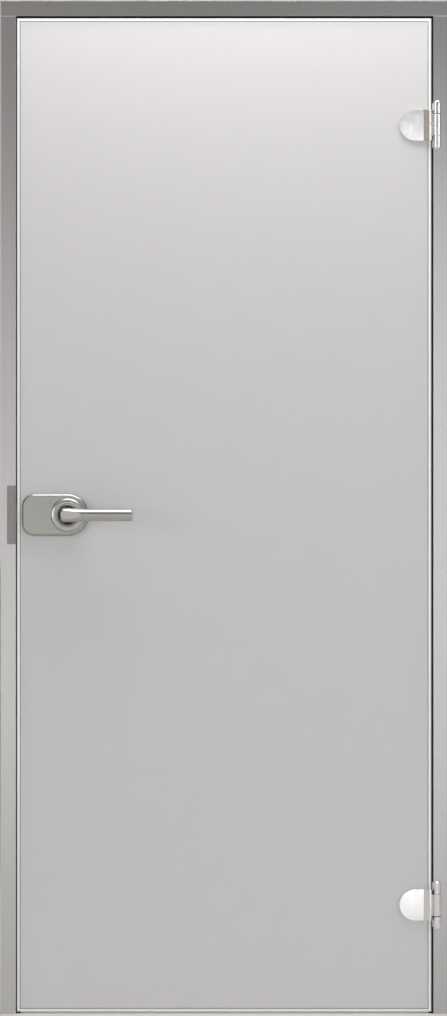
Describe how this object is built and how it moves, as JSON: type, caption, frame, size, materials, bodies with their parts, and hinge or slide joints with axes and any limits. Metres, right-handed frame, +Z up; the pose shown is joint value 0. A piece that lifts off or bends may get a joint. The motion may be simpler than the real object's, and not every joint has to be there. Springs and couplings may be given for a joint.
{
  "type": "glass door",
  "caption": "Satin glass door leaf hung on clamp hinges in a three-sided aluminium frame, with a lever lock that works from both sides and a spring latch.",
  "frame": {"origin": "on the floor line, at the middle of the frame's width, in the plane of the frame's front face", "axes": "+X towards the hinge side, +Y into the wall, +Z up"},
  "size_m": [0.88, 0.146, 1.99],
  "materials": {
    "frame_aluminium": "satin anodised extrusion",
    "seal_rubber": "matt moulded seal",
    "strike_steel": "matt grey zinc plated sheet",
    "black_plastic": "moulded, matt",
    "screw_steel": "zinc plated",
    "satin_glass": "toughened, satin etched on both faces with polished edges",
    "hinge_chrome": "polished chrome plated",
    "liner_plastic": "clear cut sheet and moulded sleeves",
    "lock_aluminium": "satin with a bright bevel",
    "rose_steel": "satin turned ring",
    "lever_aluminium": "satin turned and ground",
    "mechanism_steel": "plain bright steel and zinc casting"
  },
  "bodies": {
    "frame": {"header": "frame_aluminium", "jamb_latch_side": "frame_aluminium", "jamb_hinge_side": "frame_aluminium", "corner_screws": "screw_steel", "seal_header": "seal_rubber", "seal_latch_side": "seal_rubber", "seal_hinge_side": "seal_rubber", "strike_plate": "strike_steel", "strike_box": "black_plastic", "strike_screws": "screw_steel", "upper_hinge_bracket": "hinge_chrome", "upper_hinge_pin": "screw_steel", "upper_hinge_backing": "screw_steel", "upper_hinge_screws": "screw_steel", "lower_hinge_bracket": "hinge_chrome", "lower_hinge_pin": "screw_steel", "lower_hinge_backing": "screw_steel", "lower_hinge_screws": "screw_steel"},
    "leaf": {"glass_pane": "satin_glass", "upper_hinge_bushes": "black_plastic", "upper_clamp_front": "hinge_chrome", "upper_clamp_back": "hinge_chrome", "upper_clamp_liners": "liner_plastic", "upper_clamp_sleeves": "liner_plastic", "upper_clamp_screws": "screw_steel", "lower_hinge_bushes": "black_plastic", "lower_clamp_front": "hinge_chrome", "lower_clamp_back": "hinge_chrome", "lower_clamp_liners": "liner_plastic", "lower_clamp_sleeves": "liner_plastic", "lower_clamp_screws": "screw_steel", "lock_cover": "lock_aluminium", "lock_case": "lock_aluminium", "lock_case_plate": "mechanism_steel", "lock_liners": "liner_plastic", "lock_sleeves": "liner_plastic", "lock_screws": "screw_steel", "front_rose": "rose_steel", "back_rose": "rose_steel", "front_bearing": "black_plastic", "back_bearing": "black_plastic", "return_spring": "screw_steel", "latch_spring": "screw_steel"},
    "handle": {"front_lever": "lever_aluminium", "back_lever": "lever_aluminium", "front_grub_screw": "screw_steel", "back_grub_screw": "screw_steel", "spindle": "mechanism_steel", "follower": "mechanism_steel"},
    "latch": {"latch_bolt": "mechanism_steel"}
  },
  "joints": [
    {"name": "door_swing", "type": "hinge", "parent": "frame", "child": "leaf", "pos_m": [0.4175, -0.0075, 0.97975], "axis": [0, 0, 1], "range_deg": [0, 170]},
    {"name": "handle_turn", "type": "hinge", "parent": "leaf", "child": "handle", "pos_m": [-0.308, 0.01, 0.97975], "axis": [0, 1, 0], "range_deg": [0, 40], "stiffness_Nm_per_rad": 1.5, "springref_deg": -22.92, "deforming": ["return_spring"]},
    {"name": "latch_slide", "type": "slide", "parent": "leaf", "child": "latch", "axis": [1, 0, 0], "range_m": [0, 0.012], "stiffness_N_per_m": 150, "springref_m": -0.02, "deforming": ["latch_spring"]}
  ],
  "couplings": [
    {"joint": "latch_slide", "follows": "handle_turn", "m_per_rad": 0.017185}
  ]
}
